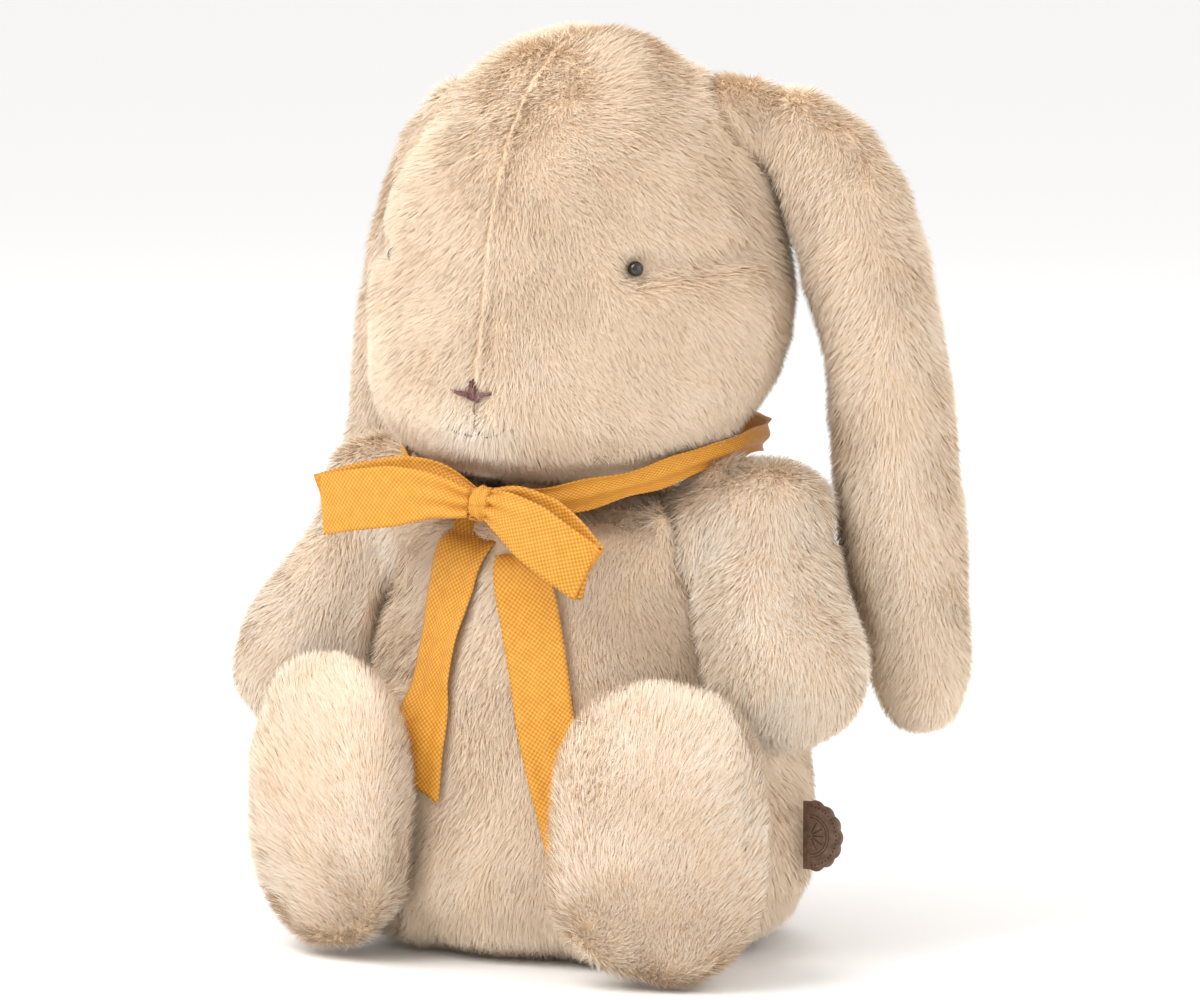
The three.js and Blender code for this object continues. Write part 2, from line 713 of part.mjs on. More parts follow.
function addBow() {
  const bow = new THREE.Group();
  bunny.add(bow);
  piece(bow, "ribbon_neckband", solid(bandGeometry()), ribbonCloth);
  const knotPad = shaped(ballStock(12, 8), (p) => {
    const square = (v) => Math.sign(v) * Math.pow(Math.abs(v), 0.6) * 0.5;
    return new THREE.Vector3(square(p.x) * knot.width, square(p.y) * knot.depth, square(p.z) * knot.height);
  });
  piece(bow, "bow_knot", knotPad, ribbonCloth).position.copy(knotCentre);
  for (const side of sides) {
    const { length, turn, droop, full } = bowLoops[side.name];
    const loop = piece(bow, `bow_loop_${side.name}`, loopGeometry(length, full), ribbonCloth);
    const start = side.sign * (knot.width / 2 + ribbon.thickness + 5 * gap);
    loop.position.set(knotCentre.x + start, knotCentre.y, knotCentre.z);
    loop.rotation.set(0, THREE.MathUtils.degToRad(droop), THREE.MathUtils.degToRad(turn), "ZYX");
  }
  for (const side of sides) {
    const { startX, endX, endZ } = bowTails[side.name];
    piece(bow, `bow_tail_${side.name}`, tailGeometry(startX, endX, endZ), ribbonCloth);
  }
}

function addTag() {
  const label = new THREE.Group();
  bunny.add(label);
  const reach = torsoRadius(tag.height);
  const seamX = reach * Math.sqrt(1 - (tag.back / (reach * torso.flatness)) ** 2) + 2 * gap;
  label.position.set(seamX + 0.6, tag.back + tag.thickness / 2, tag.height);
  piece(label, "side_tag", tagGeometry(), tagLeather);
}

addTorso();
addHead();
for (const side of sides) {
  addEar(side);
  addArm(side);
  addLeg(side);
}
addBow();
addTag();

export default bunny;
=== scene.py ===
import json
import math

import bmesh
import bpy
import numpy as np
from mathutils import Matrix, Vector
from mathutils.bvhtree import BVHTree

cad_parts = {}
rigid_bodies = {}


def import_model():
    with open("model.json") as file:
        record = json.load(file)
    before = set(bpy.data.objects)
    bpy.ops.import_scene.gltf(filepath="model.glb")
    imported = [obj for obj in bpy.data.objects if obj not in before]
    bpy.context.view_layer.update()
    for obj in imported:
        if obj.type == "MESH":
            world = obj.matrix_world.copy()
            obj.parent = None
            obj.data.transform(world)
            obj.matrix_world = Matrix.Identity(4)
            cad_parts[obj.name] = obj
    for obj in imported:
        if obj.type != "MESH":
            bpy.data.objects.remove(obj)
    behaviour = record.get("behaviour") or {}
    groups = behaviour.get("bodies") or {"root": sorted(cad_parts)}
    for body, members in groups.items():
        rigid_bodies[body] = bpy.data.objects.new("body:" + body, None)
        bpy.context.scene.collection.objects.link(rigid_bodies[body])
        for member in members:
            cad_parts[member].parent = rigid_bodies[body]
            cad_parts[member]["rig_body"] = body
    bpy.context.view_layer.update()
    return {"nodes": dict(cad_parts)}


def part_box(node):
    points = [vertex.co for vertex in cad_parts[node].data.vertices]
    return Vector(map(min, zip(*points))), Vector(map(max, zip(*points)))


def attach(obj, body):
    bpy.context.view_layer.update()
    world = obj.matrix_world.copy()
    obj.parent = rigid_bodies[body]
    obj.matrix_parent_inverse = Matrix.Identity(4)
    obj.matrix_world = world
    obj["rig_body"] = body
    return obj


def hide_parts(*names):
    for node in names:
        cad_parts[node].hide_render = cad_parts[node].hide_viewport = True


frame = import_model()
mm = 0.001
sides = {"left": 1, "right": -1}


# The camera is set 30 degrees round to the bunny's left and a little above it.
viewpoint = {
    "azimuth": 30,
    "elevation": 7,
    "distance": 2.6,
    "lens": 236.4,
    "aside": 0.005,
    "height": 0.1455,
}


def placeCamera(azimuth, elevation, distance, lens, aside, height):
    turn, tilt = math.radians(azimuth), math.radians(elevation)
    away = Vector((math.sin(turn) * math.cos(tilt), -math.cos(turn) * math.cos(tilt), math.sin(tilt)))
    across = Vector((math.cos(turn), math.sin(turn), 0))
    target = across * aside + Vector((0, 0, height))
    camera = bpy.data.objects.new("camera", bpy.data.cameras.new("camera"))
    camera.data.lens = lens
    camera.data.sensor_width = 36
    camera.location = target + away * distance
    camera.rotation_euler = (-away).to_track_quat("-Z", "Y").to_euler()
    bpy.context.scene.collection.objects.link(camera)
    bpy.context.scene.camera = camera


placeCamera(**viewpoint)


class Shade:
    # One value inside a material. Sums and products of shades add the Math nodes that work them out.
    def __init__(self, finish, socket):
        self.finish = finish
        self.socket = socket

    def worked(self, operation, *values):
        return self.finish.node("Math", {"operation": operation}, dict(enumerate(values)))

    def __add__(self, other):
        return self.worked("ADD", self, other)

    def __radd__(self, other):
        return self.worked("ADD", other, self)

    def __mul__(self, other):
        return self.worked("MULTIPLY", self, other)

    def __rmul__(self, other):
        return self.worked("MULTIPLY", other, self)


class Finish:
    # A material: uniform values go straight onto its shader, and what varies comes from nodes.
    def __init__(self, name, **uniform):
        self.material = bpy.data.materials.new(name)
        self.material.use_nodes = True
        self.tree = self.material.node_tree
        self.shader = self.tree.nodes["Principled BSDF"]
        for key, value in uniform.items():
            self.shader.inputs[key.replace("_", " ")].default_value = value

    # Adds a node: its type, its settings, then the values or links of its sockets.
    def node(self, kind, settings=None, inputs=None, output=0):
        node = self.tree.nodes.new("ShaderNode" + kind)
        for key, value in (settings or {}).items():
            if key == "stops":
                self.setStops(node.color_ramp, value)
            else:
                setattr(node, key, value)
        for key, value in (inputs or {}).items():
            self.join(value, node.inputs[key])
        return Shade(self, node.outputs[output])

    def setStops(self, ramp, stops):
        while len(ramp.elements) < len(stops):
            ramp.elements.new(0.5)
        for element, (place, color) in zip(ramp.elements, stops):
            element.position = place
            element.color = color

    def join(self, value, socket):
        if isinstance(value, Shade):
            self.tree.links.new(value.socket, socket)
        else:
            socket.default_value = value

    def mix(self, factor, first, second):
        return self.node("Mix", {"data_type": "RGBA"}, {0: factor, 6: first, 7: second}, 2)

    def colored(self, shade):
        self.join(shade, self.shader.inputs["Base Color"])

    def bumped(self, height, strength, distance):
        bump = self.node("Bump", None, {"Strength": strength, "Distance": distance, "Height": height})
        self.join(bump, self.shader.inputs["Normal"])


# A color given as it looks on a screen, from 0 to 255.
def color(red, green, blue):
    channels = [value / 255 for value in (red, green, blue)]
    linear = [v / 12.92 if v <= 0.04045 else ((v + 0.055) / 1.055) ** 2.4 for v in channels]
    return (*linear, 1)


# The root color is painted shade: each hair is darker towards its foot, for the shade deep in the pile.
furColors = {
    "root": color(228, 200, 168),
    "dark": color(236, 212, 184),
    "middle": color(243, 223, 198),
    "light": color(249, 235, 216),
    "white": color(254, 248, 238),
}


def makeFurFinish():
    finish = Finish("plushFur", Roughness=0.75, Sheen_Weight=0.25, Sheen_Roughness=0.4)
    finish.shader.inputs["Specular IOR Level"].default_value = 0.25
    finish.shader.inputs["Sheen Tint"].default_value = color(255, 244, 228)
    place = finish.node("UVMap", {"uv_map": "OFBake"})
    tone = finish.node("SeparateXYZ", None, {0: place}, 0)
    along = finish.node("SeparateXYZ", None, {0: place}, 1)
    stops = [
        (0, furColors["dark"]),
        (0.4, furColors["middle"]),
        (0.8, furColors["light"]),
        (1, furColors["white"]),
    ]
    hair = finish.node("ValToRGB", {"stops": stops}, {0: tone})
    # each hair fades from the painted shade at its root to its own tone at the tip
    finish.colored(finish.mix(0.35 + 0.65 * along, furColors["root"], hair))
    return finish.material


# The backing under the hairs is painted darker than the hairs: painted shade for the depth between them.
# Its noise is the pile's own mottling.
def makeSkinFinish():
    finish = Finish("plushPile", Roughness=0.95, Sheen_Weight=0.2)
    place = finish.node("TexCoord", output=3)
    coarse = finish.node("TexNoise", None, {"Vector": place, "Scale": 90, "Detail": 3})
    fine = finish.node("TexNoise", None, {"Vector": place, "Scale": 900, "Detail": 2})
    stops = [(0.3, color(222, 192, 158)), (0.7, color(238, 214, 184))]
    finish.colored(finish.node("ValToRGB", {"stops": stops}, {0: coarse * 0.5 + fine * 0.5}))
    finish.bumped(fine, 0.6, 0.0012)
    return finish.material


# In weave, high is a painted highlight for the raised threads and low is a painted shade for the hollows
# between them.
weave = {
    "pitch": 0.85 * mm,
    "high": color(228, 168, 68),
    "low": color(184, 117, 30),
    "edge": color(202, 137, 42),
}


def makeRibbonFinish():
    finish = Finish("ribbonWeave", Roughness=0.62, Sheen_Weight=0.15, Sheen_Roughness=0.35)
    finish.shader.inputs["Specular IOR Level"].default_value = 0.35
    place = finish.node("UVMap", {"uv_map": "weave"})
    across = finish.node("SeparateXYZ", None, {0: place}, 0) * (math.pi / weave["pitch"])
    along = finish.node("SeparateXYZ", None, {0: place}, 1) * (math.pi / weave["pitch"])
    warp = across.worked("SINE", across)
    weft = along.worked("SINE", along)
    cells = (warp * weft) * 0.5 + 0.5  # plain weave: threads pass over and under in turn
    streaks = finish.node("TexNoise", None, {"Vector": place, "Scale": 260, "Detail": 2})
    height = cells * 0.8 + streaks * 0.4
    # The raised threads are painted lighter and the hollows darker: painted light and shade on the weave.
    # The streaks are the ribbon's own tone.
    stops = [(0.15, weave["low"]), (0.55, weave["edge"]), (0.9, weave["high"])]
    finish.colored(finish.node("ValToRGB", {"stops": stops}, {0: height}))
    finish.bumped(height, 0.5, 0.0003)
    return finish.material


# A finish that clouds from one color to another, with an optional bump of the same clouds.
def makeCloudyFinish(name, stops, scale, detail=2, bump=None, **uniform):
    finish = Finish(name, **uniform)
    place = finish.node("TexCoord", output=3)
    clouds = finish.node("TexNoise", None, {"Vector": place, "Scale": scale, "Detail": detail})
    finish.colored(finish.node("ValToRGB", {"stops": stops}, {0: clouds}))
    if bump:
        finish.bumped(clouds, *bump)
    return finish.material


def makeThreadFinish(name, deep, pale):
    stops = [(0.35, deep), (0.7, pale)]
    return makeCloudyFinish(name, stops, 1400, bump=(0.4, 0.0003), Roughness=0.6, Sheen_Weight=0.3)


def makeBeadFinish():
    stops = [(0.3, color(18, 13, 11)), (0.8, color(34, 26, 22))]
    return makeCloudyFinish("blackBead", stops, 500, Roughness=0.12, Coat_Weight=0.6, Coat_Roughness=0.05)


def makeWasherFinish():
    stops = [(0.3, color(222, 222, 216)), (0.8, color(240, 240, 236))]
    return makeCloudyFinish("washerPlastic", stops, 300, Roughness=0.4)


def makeInkFinish():
    stops = [(0.3, color(44, 30, 24)), (0.8, color(70, 50, 40))]
    return makeCloudyFinish("tagPressedInk", stops, 900, detail=3, bump=(0.3, 0.0002), Roughness=0.7)


def makeTagFinish():
    finish = Finish("tagLeather", Roughness=0.55)
    place = finish.node("TexCoord", output=3)
    grain = finish.node("TexVoronoi", {"feature": "DISTANCE_TO_EDGE"}, {"Vector": place, "Scale": 1500})
    cloud = finish.node("TexNoise", None, {"Vector": place, "Scale": 420, "Detail": 4})
    stops = [(0.3, color(96, 74, 60)), (0.6, color(126, 102, 86)), (0.85, color(146, 122, 104))]
    finish.colored(finish.node("ValToRGB", {"stops": stops}, {0: cloud}))
    finish.bumped(grain * 2 + cloud, 0.35, 0.0004)
    return finish.material


furFinish = makeFurFinish()
skinFinish = makeSkinFinish()
ribbonFinish = makeRibbonFinish()
noseFinish = makeThreadFinish("noseThread", color(84, 44, 42), color(134, 84, 76))
mouthFinish = makeThreadFinish("mouthThread", color(120, 100, 84), color(164, 142, 122))
beadFinish = makeBeadFinish()
washerFinish = makeWasherFinish()
tagFinish = makeTagFinish()
inkFinish = makeInkFinish()
print("finishes made")


def addMesh(name, vertices, faces, finish, body):
    mesh = bpy.data.meshes.new(name)
    mesh.from_pydata([tuple(v) for v in vertices], [], faces)
    mesh.materials.append(finish)
    for polygon in mesh.polygons:
        polygon.use_smooth = True
    piece = bpy.data.objects.new(name, mesh)
    bpy.context.scene.collection.objects.link(piece)
    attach(piece, body)
    return piece


# The places of a mesh's vertices as rows of numbers.
def places(mesh):
    flat = np.empty(len(mesh.vertices) * 3, np.float32)
    mesh.vertices.foreach_get("co", flat)
    return flat.reshape(-1, 3).astype(float)


def vertexNormals(mesh):
    flat = np.empty(len(mesh.vertices) * 3, np.float32)
    mesh.vertex_normals.foreach_get("vector", flat)
    return flat.reshape(-1, 3).astype(float)


def moveVertices(mesh, points):
    mesh.vertices.foreach_set("co", points.astype(np.float32).ravel())
    mesh.update()


def unit(rows):
    return rows / np.maximum(np.linalg.norm(rows, axis=1, keepdims=True), 1e-12)


# A smooth random field over space, from about -1 to 1, whose lumps are about size across.
def lumps(seed, size, waves=28):
    random = np.random.default_rng(seed)
    along = random.normal(size=(waves, 3)) * (2 * math.pi / size) * 0.6
    start = random.uniform(0, 2 * math.pi, waves)
    return lambda points: np.sin(points @ along.T + start).sum(axis=1) / math.sqrt(waves) * 0.9


# How far each point is from a line through stations, and how far along it is, from 0 to 1.
def fromLine(points, stations):
    stations = np.array(stations, float)
    best = np.full(len(points), np.inf)
    share = np.zeros(len(points))
    for i, (a, b) in enumerate(zip(stations[:-1], stations[1:])):
        t = np.clip((points - a) @ (b - a) / ((b - a) @ (b - a)), 0, 1)
        away = np.linalg.norm(points - (a + t[:, None] * (b - a)), axis=1)
        closer = away < best
        best[closer] = away[closer]
        share[closer] = (i + t[closer]) / (len(stations) - 1)
    return best, share


# Every plush body has one stuffed skin. It starts from the frame's own solids, joined, rounded off
# and drawn in to where the pile is rooted.
stuffing = {
    "voxel": 2.2 * mm,
    "rounding": 90,
    "pileDepth": 3.4 * mm,
    "reach": 12 * mm,  # a neighbor nearer than this presses the pile flatter
    "touching": 2 * mm,
}


def smoothed(mesh, rounds):
    points = places(mesh)
    edges = np.empty(len(mesh.edges) * 2, np.int32)
    mesh.edges.foreach_get("vertices", edges)
    first, second = edges[0::2], edges[1::2]
    count = np.maximum(np.bincount(edges, minlength=len(points)), 1)[:, None]
    for step in range(rounds):
        total = np.zeros_like(points)
        for k in range(3):
            total[:, k] = np.bincount(first, points[second, k], len(points))
            total[:, k] += np.bincount(second, points[first, k], len(points))
        weight = 0.5 if step % 2 == 0 else -0.508
        points += weight * (total / count - points)
    moveVertices(mesh, points)


def stuffedSkin(name, nodes):
    gathered = bmesh.new()
    for node in nodes:
        gathered.from_mesh(frame["nodes"][node].data)
    rough = bpy.data.meshes.new(name + "Rough")
    gathered.to_mesh(rough)
    gathered.free()
    block = bpy.data.objects.new(name + "Rough", rough)
    bpy.context.scene.collection.objects.link(block)
    remesh = block.modifiers.new("remesh", "REMESH")
    remesh.mode = "VOXEL"
    remesh.voxel_size = stuffing["voxel"]
    shown = block.evaluated_get(bpy.context.evaluated_depsgraph_get())
    mesh = bpy.data.meshes.new_from_object(shown)
    bpy.data.objects.remove(block)
    mesh.name = name
    mesh.materials.clear()
    smoothed(mesh, stuffing["rounding"])
    return mesh


# Presses a line into a skin: a seam, a dart or a fold. A negative depth raises it instead.
def pressLine(mesh, stations, width, depth, fade=0.0):
    points, normals = places(mesh), vertexNormals(mesh)
    away, share = fromLine(points, stations)
    strength = np.exp(-((away / width) ** 2))
    if fade:
        strength *= np.clip(np.minimum(share, 1 - share) / fade, 0, 1)
    moveVertices(mesh, points - normals * (strength * depth)[:, None])


def pressSpot(mesh, center, width, depth):
    points, normals = places(mesh), vertexNormals(mesh)
    strength = np.exp(-((np.linalg.norm(points - np.array(center), axis=1) / width) ** 2))
    moveVertices(mesh, points - normals * (strength * depth)[:, None])


def lumpy(mesh, seed, size, height):
    points, normals = places(mesh), vertexNormals(mesh)
    moveVertices(mesh, points + normals * (lumps(seed, size)(points) * height)[:, None])


def treeOf(mesh):
    corners = [Vector(place) for place in places(mesh)]
    return BVHTree.FromPolygons(corners, [tuple(face.vertices) for face in mesh.polygons])


# How far each point is from the nearest other part, up to a reach.
def roomAround(part, points, reach):
    room = np.full(len(points), reach)
    for other, tree in roughTrees.items():
        if other == part:
            continue
        corners = places(skins[other])
        low, high = corners.min(axis=0) - reach, corners.max(axis=0) + reach
        for i in np.flatnonzero(np.all((points > low) & (points < high), axis=1)):
            distance = tree.find_nearest(Vector(points[i]), reach)[3]
            if distance is not None and distance < room[i]:
                room[i] = distance
    return room


def finishSkin(part, name, body, nodes):
    mesh = skins[part]
    points, normals = places(mesh), vertexNormals(mesh)
    reach, touching = stuffing["reach"], stuffing["touching"]
    share = np.clip((roomAround(part, points, reach) - touching) / (reach - touching), 0, 1)
    drawn = stuffing["pileDepth"] * (0.12 + 0.88 * share * share * (3 - 2 * share))
    points -= normals * drawn[:, None]  # beside a neighbor the pile of both is pressed together
    points[:, 2] = np.maximum(points[:, 2], 0.4 * mm)
    moveVertices(mesh, points)
    mesh.materials.append(skinFinish)
    mesh.polygons.foreach_set("use_smooth", np.ones(len(mesh.polygons), bool))
    piece = bpy.data.objects.new(name, mesh)
    bpy.context.scene.collection.objects.link(piece)
    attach(piece, body)
    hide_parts(*nodes)
    return piece


def centerOf(node):
    low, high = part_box(node)
    return (low + high) / 2


bead = {
    "aboveMiddle": 3.5 * mm,  # from the middle of the bead with its shank
    "pulledIn": 4.2 * mm,  # by the thread that makes the hollow
    "radius": 2.6 * mm,
    "flatness": 0.86,
    "proud": 0.9 * mm,
}


def beadCenter(side):
    middle = centerOf(f"eye_{side}")
    inward = (centerOf(f"eye_washer_{side}") - middle).normalized()
    return middle - inward * bead["aboveMiddle"], -inward


bodies = {
    "torso": ["body_front_panel", "body_back_panel", "body_base_panel", "body_stuffing"],
    "bob": ["bob_tail_skin", "bob_tail_stuffing"],
    "head": ["head_panel_left", "head_panel_right", "head_stuffing"],
}
for side in sides:
    bodies[f"ear_{side}"] = [f"ear_{side}_outer", f"ear_{side}_lining", f"ear_{side}_padding"]
    bodies[f"arm_{side}"] = [f"arm_{side}_outer_panel", f"arm_{side}_inner_panel", f"arm_{side}_stuffing"]
    bodies[f"leg_{side}"] = [f"foot_{side}_sole", f"leg_{side}_skin", f"leg_{side}_stuffing"]

skins = {}
for part, nodes in bodies.items():
    extra = ["eye_washer_left", "eye_washer_right", "eye_left", "eye_right"] if part == "head" else []
    skins[part] = stuffedSkin(part, nodes + extra)
print("skins shaped", {part: len(mesh.vertices) for part, mesh in skins.items()})


face = {
    "dimple": {"width": 6 * mm, "depth": 4.6 * mm},
    "creasePlaces": [(58, -34, 1), (67, -18, 3), (70, -2, 4)],  # across, back and above the eye
    "crease": {"width": 5 * mm, "depth": 4.2 * mm},
    "cheek": {"width": 16 * mm, "depth": -2.6 * mm},
    "muzzlePad": {"width": 8 * mm, "depth": -1.6 * mm},
    "seam": {"width": 2.8 * mm, "depth": 0.9 * mm},
}


def shapeHead():
    mesh = skins["head"]
    nose = centerOf("nose_embroidery")
    for side, sign in sides.items():
        eye, out = beadCenter(side)
        pressSpot(mesh, eye, **face["dimple"])
        back = [eye] + [(sign * x * mm, y * mm, eye.z + rise * mm) for x, y, rise in face["creasePlaces"]]
        pressLine(mesh, back, **face["crease"])
        cheek = [(x, y, z - 13 * mm) for x, y, z in back]
        pressLine(mesh, cheek, **face["cheek"])
        pad = (sign * 9 * mm, nose.y, nose.z - 8 * mm)
        pressSpot(mesh, pad, **face["muzzlePad"])
    pressLine(mesh, [(0, nose.y, nose.z), (0, nose.y, nose.z - 13 * mm)], 2.6 * mm, 2.2 * mm)
    pressSpot(mesh, nose, 6 * mm, 1.6 * mm)
    points, normals = places(mesh), vertexNormals(mesh)
    groove = np.exp(-((points[:, 0] / face["seam"]["width"]) ** 2)) * (points[:, 2] > nose.z)
    moveVertices(mesh, points - normals * (groove * face["seam"]["depth"])[:, None])
    lumpy(mesh, 3, 60 * mm, 0.8 * mm)


shapeHead()


belly = {
    "foldWidth": 5 * mm,
    "folds": [
        (3 * mm, [(60, -38, 112), (38, -58, 108), (22, -64, 112)]),
        (2.2 * mm, [(66, -30, 96), (48, -54, 90), (30, -64, 94)]),
    ],
    "swell": {"height": 138 * mm, "spread": 15 * mm, "from": 30 * mm, "over": 14 * mm, "by": 7 * mm},
}


def shapeTorso():
    mesh = skins["torso"]
    for sign in (1, -1):
        # folds that run from the armpits in over the belly
        for depth, fold in belly["folds"]:
            line = [(sign * x * mm, y * mm, z * mm) for x, y, z in fold]
            pressLine(mesh, line, belly["foldWidth"], depth, 0.3)
        pressLine(mesh, [(sign * 79 * mm, 8 * mm, z * mm) for z in (8, 40, 75, 110)], 3 * mm, 1.0 * mm)
    lumpy(mesh, 5, 45 * mm, 1.2 * mm)
    points, normals = places(mesh), vertexNormals(mesh)
    swell = belly["swell"]  # the shoulders swell up to the neckband, and less so in front
    radius = np.linalg.norm(points[:, :2], axis=1)
    full = np.exp(-(((points[:, 2] - swell["height"]) / swell["spread"]) ** 2))
    full *= np.clip((radius - swell["from"]) / swell["over"], 0, 1)
    full *= np.where(points[:, 1] < -swell["from"], 0.6, 1.0)
    moveVertices(mesh, points + normals * (full * swell["by"])[:, None])


# The top of each arm is packed up towards the chin.
def fillShoulder(side, sign):
    mesh = skins[f"arm_{side}"]
    points, normals = places(mesh), vertexNormals(mesh)
    top = points[:, 2].max()
    full = np.clip(1 - (top - points[:, 2]) / (22 * mm), 0, 1)
    full *= np.clip(sign * points[:, 0] / (60 * mm) - 0.7, 0, 1) * 2
    moveVertices(mesh, points + normals * (np.clip(full, 0, 1) * 7.5 * mm)[:, None])


def shapeEar(side, sign):
    lumpy(skins[f"ear_{side}"], 11 + sign, 50 * mm, 0.8 * mm)


shapeTorso()
for side, sign in sides.items():
    shapeEar(side, sign)
    lumpy(skins[f"arm_{side}"], 21 + sign, 40 * mm, 1.0 * mm)
    fillShoulder(side, sign)
    lumpy(skins[f"leg_{side}"], 31 + sign, 40 * mm, 1.0 * mm)

roughTrees = {part: treeOf(mesh) for part, mesh in skins.items()}
pieces = {
    "head": finishSkin("head", "head_plush", "head", bodies["head"]),
    "torso": finishSkin("torso", "body_plush", "torso", bodies["torso"]),
    "bob": finishSkin("bob", "bob_tail_plush", "torso", bodies["bob"]),
}
for side in sides:
    for limb, fill in (("ear", 0.4), ("arm", 0.75), ("leg", 0.8)):
        part = f"{limb}_{side}"
        pieces[part] = finishSkin(part, part + "_plush", part, bodies[part])
print("skins finished")


# The fur: short combed hairs, each a leaning blade of one triangle. Density is hairs per square millimeter.
coat = {"density": 3.7, "length": 5.6 * mm, "width": 0.36 * mm, "lean": 55, "perPiece": 180000}
nap = {"swirl": 0.3, "swirlSize": 40 * mm, "ruffle": 0.1, "ruffleSize": 12 * mm, "scatter": 0.14}
trees = {part: treeOf(piece.data) for part, piece in pieces.items()}


# Marks the parts of a skin that lie sunk inside a neighbor, where no hair would ever show.
def sunken(part, points, normals):
    hidden = np.zeros(len(points), bool)
    for other, tree in trees.items():
        if other == part:
            continue
        low = np.array([v for v in pieces[other].bound_box]).min(axis=0)
        high = np.array([v for v in pieces[other].bound_box]).max(axis=0)
        near = np.flatnonzero(np.all((points > low) & (points < high), axis=1) & ~hidden)
        for i in near:
            out = Vector(normals[i])
            found, normal, face, distance = tree.ray_cast(Vector(points[i]) + out * 1.5 * mm, out)
            if found is not None and normal.dot(out) > 0:
                hidden[i] = True
    return hidden


def growFur(part, seed, comb, trim=None, tone=None):
    piece = pieces[part]
    mesh = piece.data
    mesh.calc_loop_triangles()
    corners = np.empty(len(mesh.loop_triangles) * 3, np.int32)
    mesh.loop_triangles.foreach_get("vertices", corners)
    corners = corners.reshape(-1, 3)
    points, normals = places(mesh), vertexNormals(mesh)
    hidden = sunken(part, points, normals)
    corners = corners[~hidden[corners].all(axis=1)]
    a, b, c = points[corners[:, 0]], points[corners[:, 1]], points[corners[:, 2]]
    area = np.linalg.norm(np.cross(b - a, c - a), axis=1) / 2
    random = np.random.default_rng(seed)
    count = int(area.sum() * 1e6 * coat["density"])
    chosen = random.choice(len(area), count, p=area / area.sum())
    u, v = random.random(count), random.random(count)
    over = u + v > 1
    u[over], v[over] = 1 - u[over], 1 - v[over]
    weights = np.stack([1 - u - v, u, v], axis=1)
    picked = corners[chosen]
    roots = (points[picked] * weights[:, :, None]).sum(axis=1)
    up = unit((normals[picked] * weights[:, :, None]).sum(axis=1))
    # which way the nap lies, with slow swirls and a little scatter
    flow = comb(roots, up)
    for k in range(3):
        flow[:, k] += nap["swirl"] * lumps(seed * 7 + k, nap["swirlSize"])(roots)
        flow[:, k] += nap["ruffle"] * lumps(seed * 7 + 3 + k, nap["ruffleSize"])(roots)
    flow += random.normal(size=flow.shape) * nap["scatter"]
    flow = unit(flow - up * (flow * up).sum(axis=1, keepdims=True))
    tall = coat["length"] * random.uniform(0.72, 1.12, count)
    if trim:
        tall *= trim(roots)
    drift = 5 * lumps(seed * 7 + 6, 30 * mm)(roots)
    lean = np.radians(coat["lean"] + drift + random.normal(size=count) * 7)
    hair = up * np.cos(lean)[:, None] + flow * np.sin(lean)[:, None]
    base = roots - up * 0.4 * mm
    tip = base + hair * tall[:, None]
    side = unit(np.cross(up, flow))
    turn = random.normal(size=count) * 0.5
    side = side * np.cos(turn)[:, None] + np.cross(hair, side) * np.sin(turn)[:, None]
    half = side * (coat["width"] * random.uniform(0.7, 1.2, count) / 2)[:, None]
    vertices = np.stack([base - half, base + half, tip], axis=1)
    vertices[:, :, 2] = np.maximum(vertices[:, :, 2], 0.15 * mm)
    clouds = 0.1 * lumps(seed * 7 + 8, 30 * mm)(roots) + 0.06 * lumps(seed * 7 + 9, 7 * mm)(roots)
    shade = np.clip(0.5 + clouds + random.normal(size=count) * 0.13, 0.01, 0.99)
    if tone:
        shade = np.clip(shade + tone(roots), 0.01, 0.99)
    facing = np.cross(side, hair)
    facing *= np.sign((facing * up).sum(axis=1))[:, None]
    lit = unit(0.86 * up + 0.14 * unit(facing))
    sheaves = int(math.ceil(count / coat["perPiece"]))
    for k in range(sheaves):
        name = f"{piece.name.replace('_plush', '')}_fur" + (f"_{k + 1}" if sheaves > 1 else "")
        addHairs(name, part, vertices[k::sheaves], lit[k::sheaves], shade[k::sheaves])
    return count


def addHairs(name, part, vertices, lit, shade):
    count = len(vertices)
    facing = np.cross(vertices[:, 1] - vertices[:, 0], vertices[:, 2] - vertices[:, 0])
    outward = (facing * lit).sum(axis=1) > 0
    order = np.where(outward[:, None], [0, 1, 2], [1, 0, 2])
    mesh = bpy.data.meshes.new(name)
    mesh.vertices.add(count * 3)
    mesh.vertices.foreach_set("co", vertices.astype(np.float32).ravel())
    mesh.loops.add(count * 3)
    corners = np.arange(count)[:, None] * 3 + order
    mesh.loops.foreach_set("vertex_index", corners.astype(np.int32).ravel())
    mesh.polygons.add(count)
    mesh.polygons.foreach_set("loop_start", np.arange(count, dtype=np.int32) * 3)
    mesh.polygons.foreach_set("loop_total", np.full(count, 3, np.int32))
    mesh.polygons.foreach_set("use_smooth", np.ones(count, bool))
    mesh.update(calc_edges=True)
    sheet = mesh.uv_layers.new(name="OFBake")
    along = np.array([0.02, 0.02, 0.98])[order]
    across = np.array([-0.004, 0.004, 0])[order]
    spots = np.stack([shade[:, None] * 0.96 + 0.02 + across, along], axis=2)
    sheet.data.foreach_set("uv", spots.astype(np.float32).ravel())
    mesh.materials.append(furFinish)
    mesh.normals_split_custom_set_from_vertices(np.repeat(lit, 3, axis=0).astype(np.float32))
    piece = bpy.data.objects.new(name, mesh)
    bpy.context.scene.collection.objects.link(piece)
    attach(piece, pieces[part]["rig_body"])


def downwards(roots, up):
    return np.tile([0.0, 0.0, -1.0], (len(roots), 1))


nose = np.array(centerOf("nose_embroidery"))
eyes = {side: np.array(beadCenter(side)[0]) for side in sides}


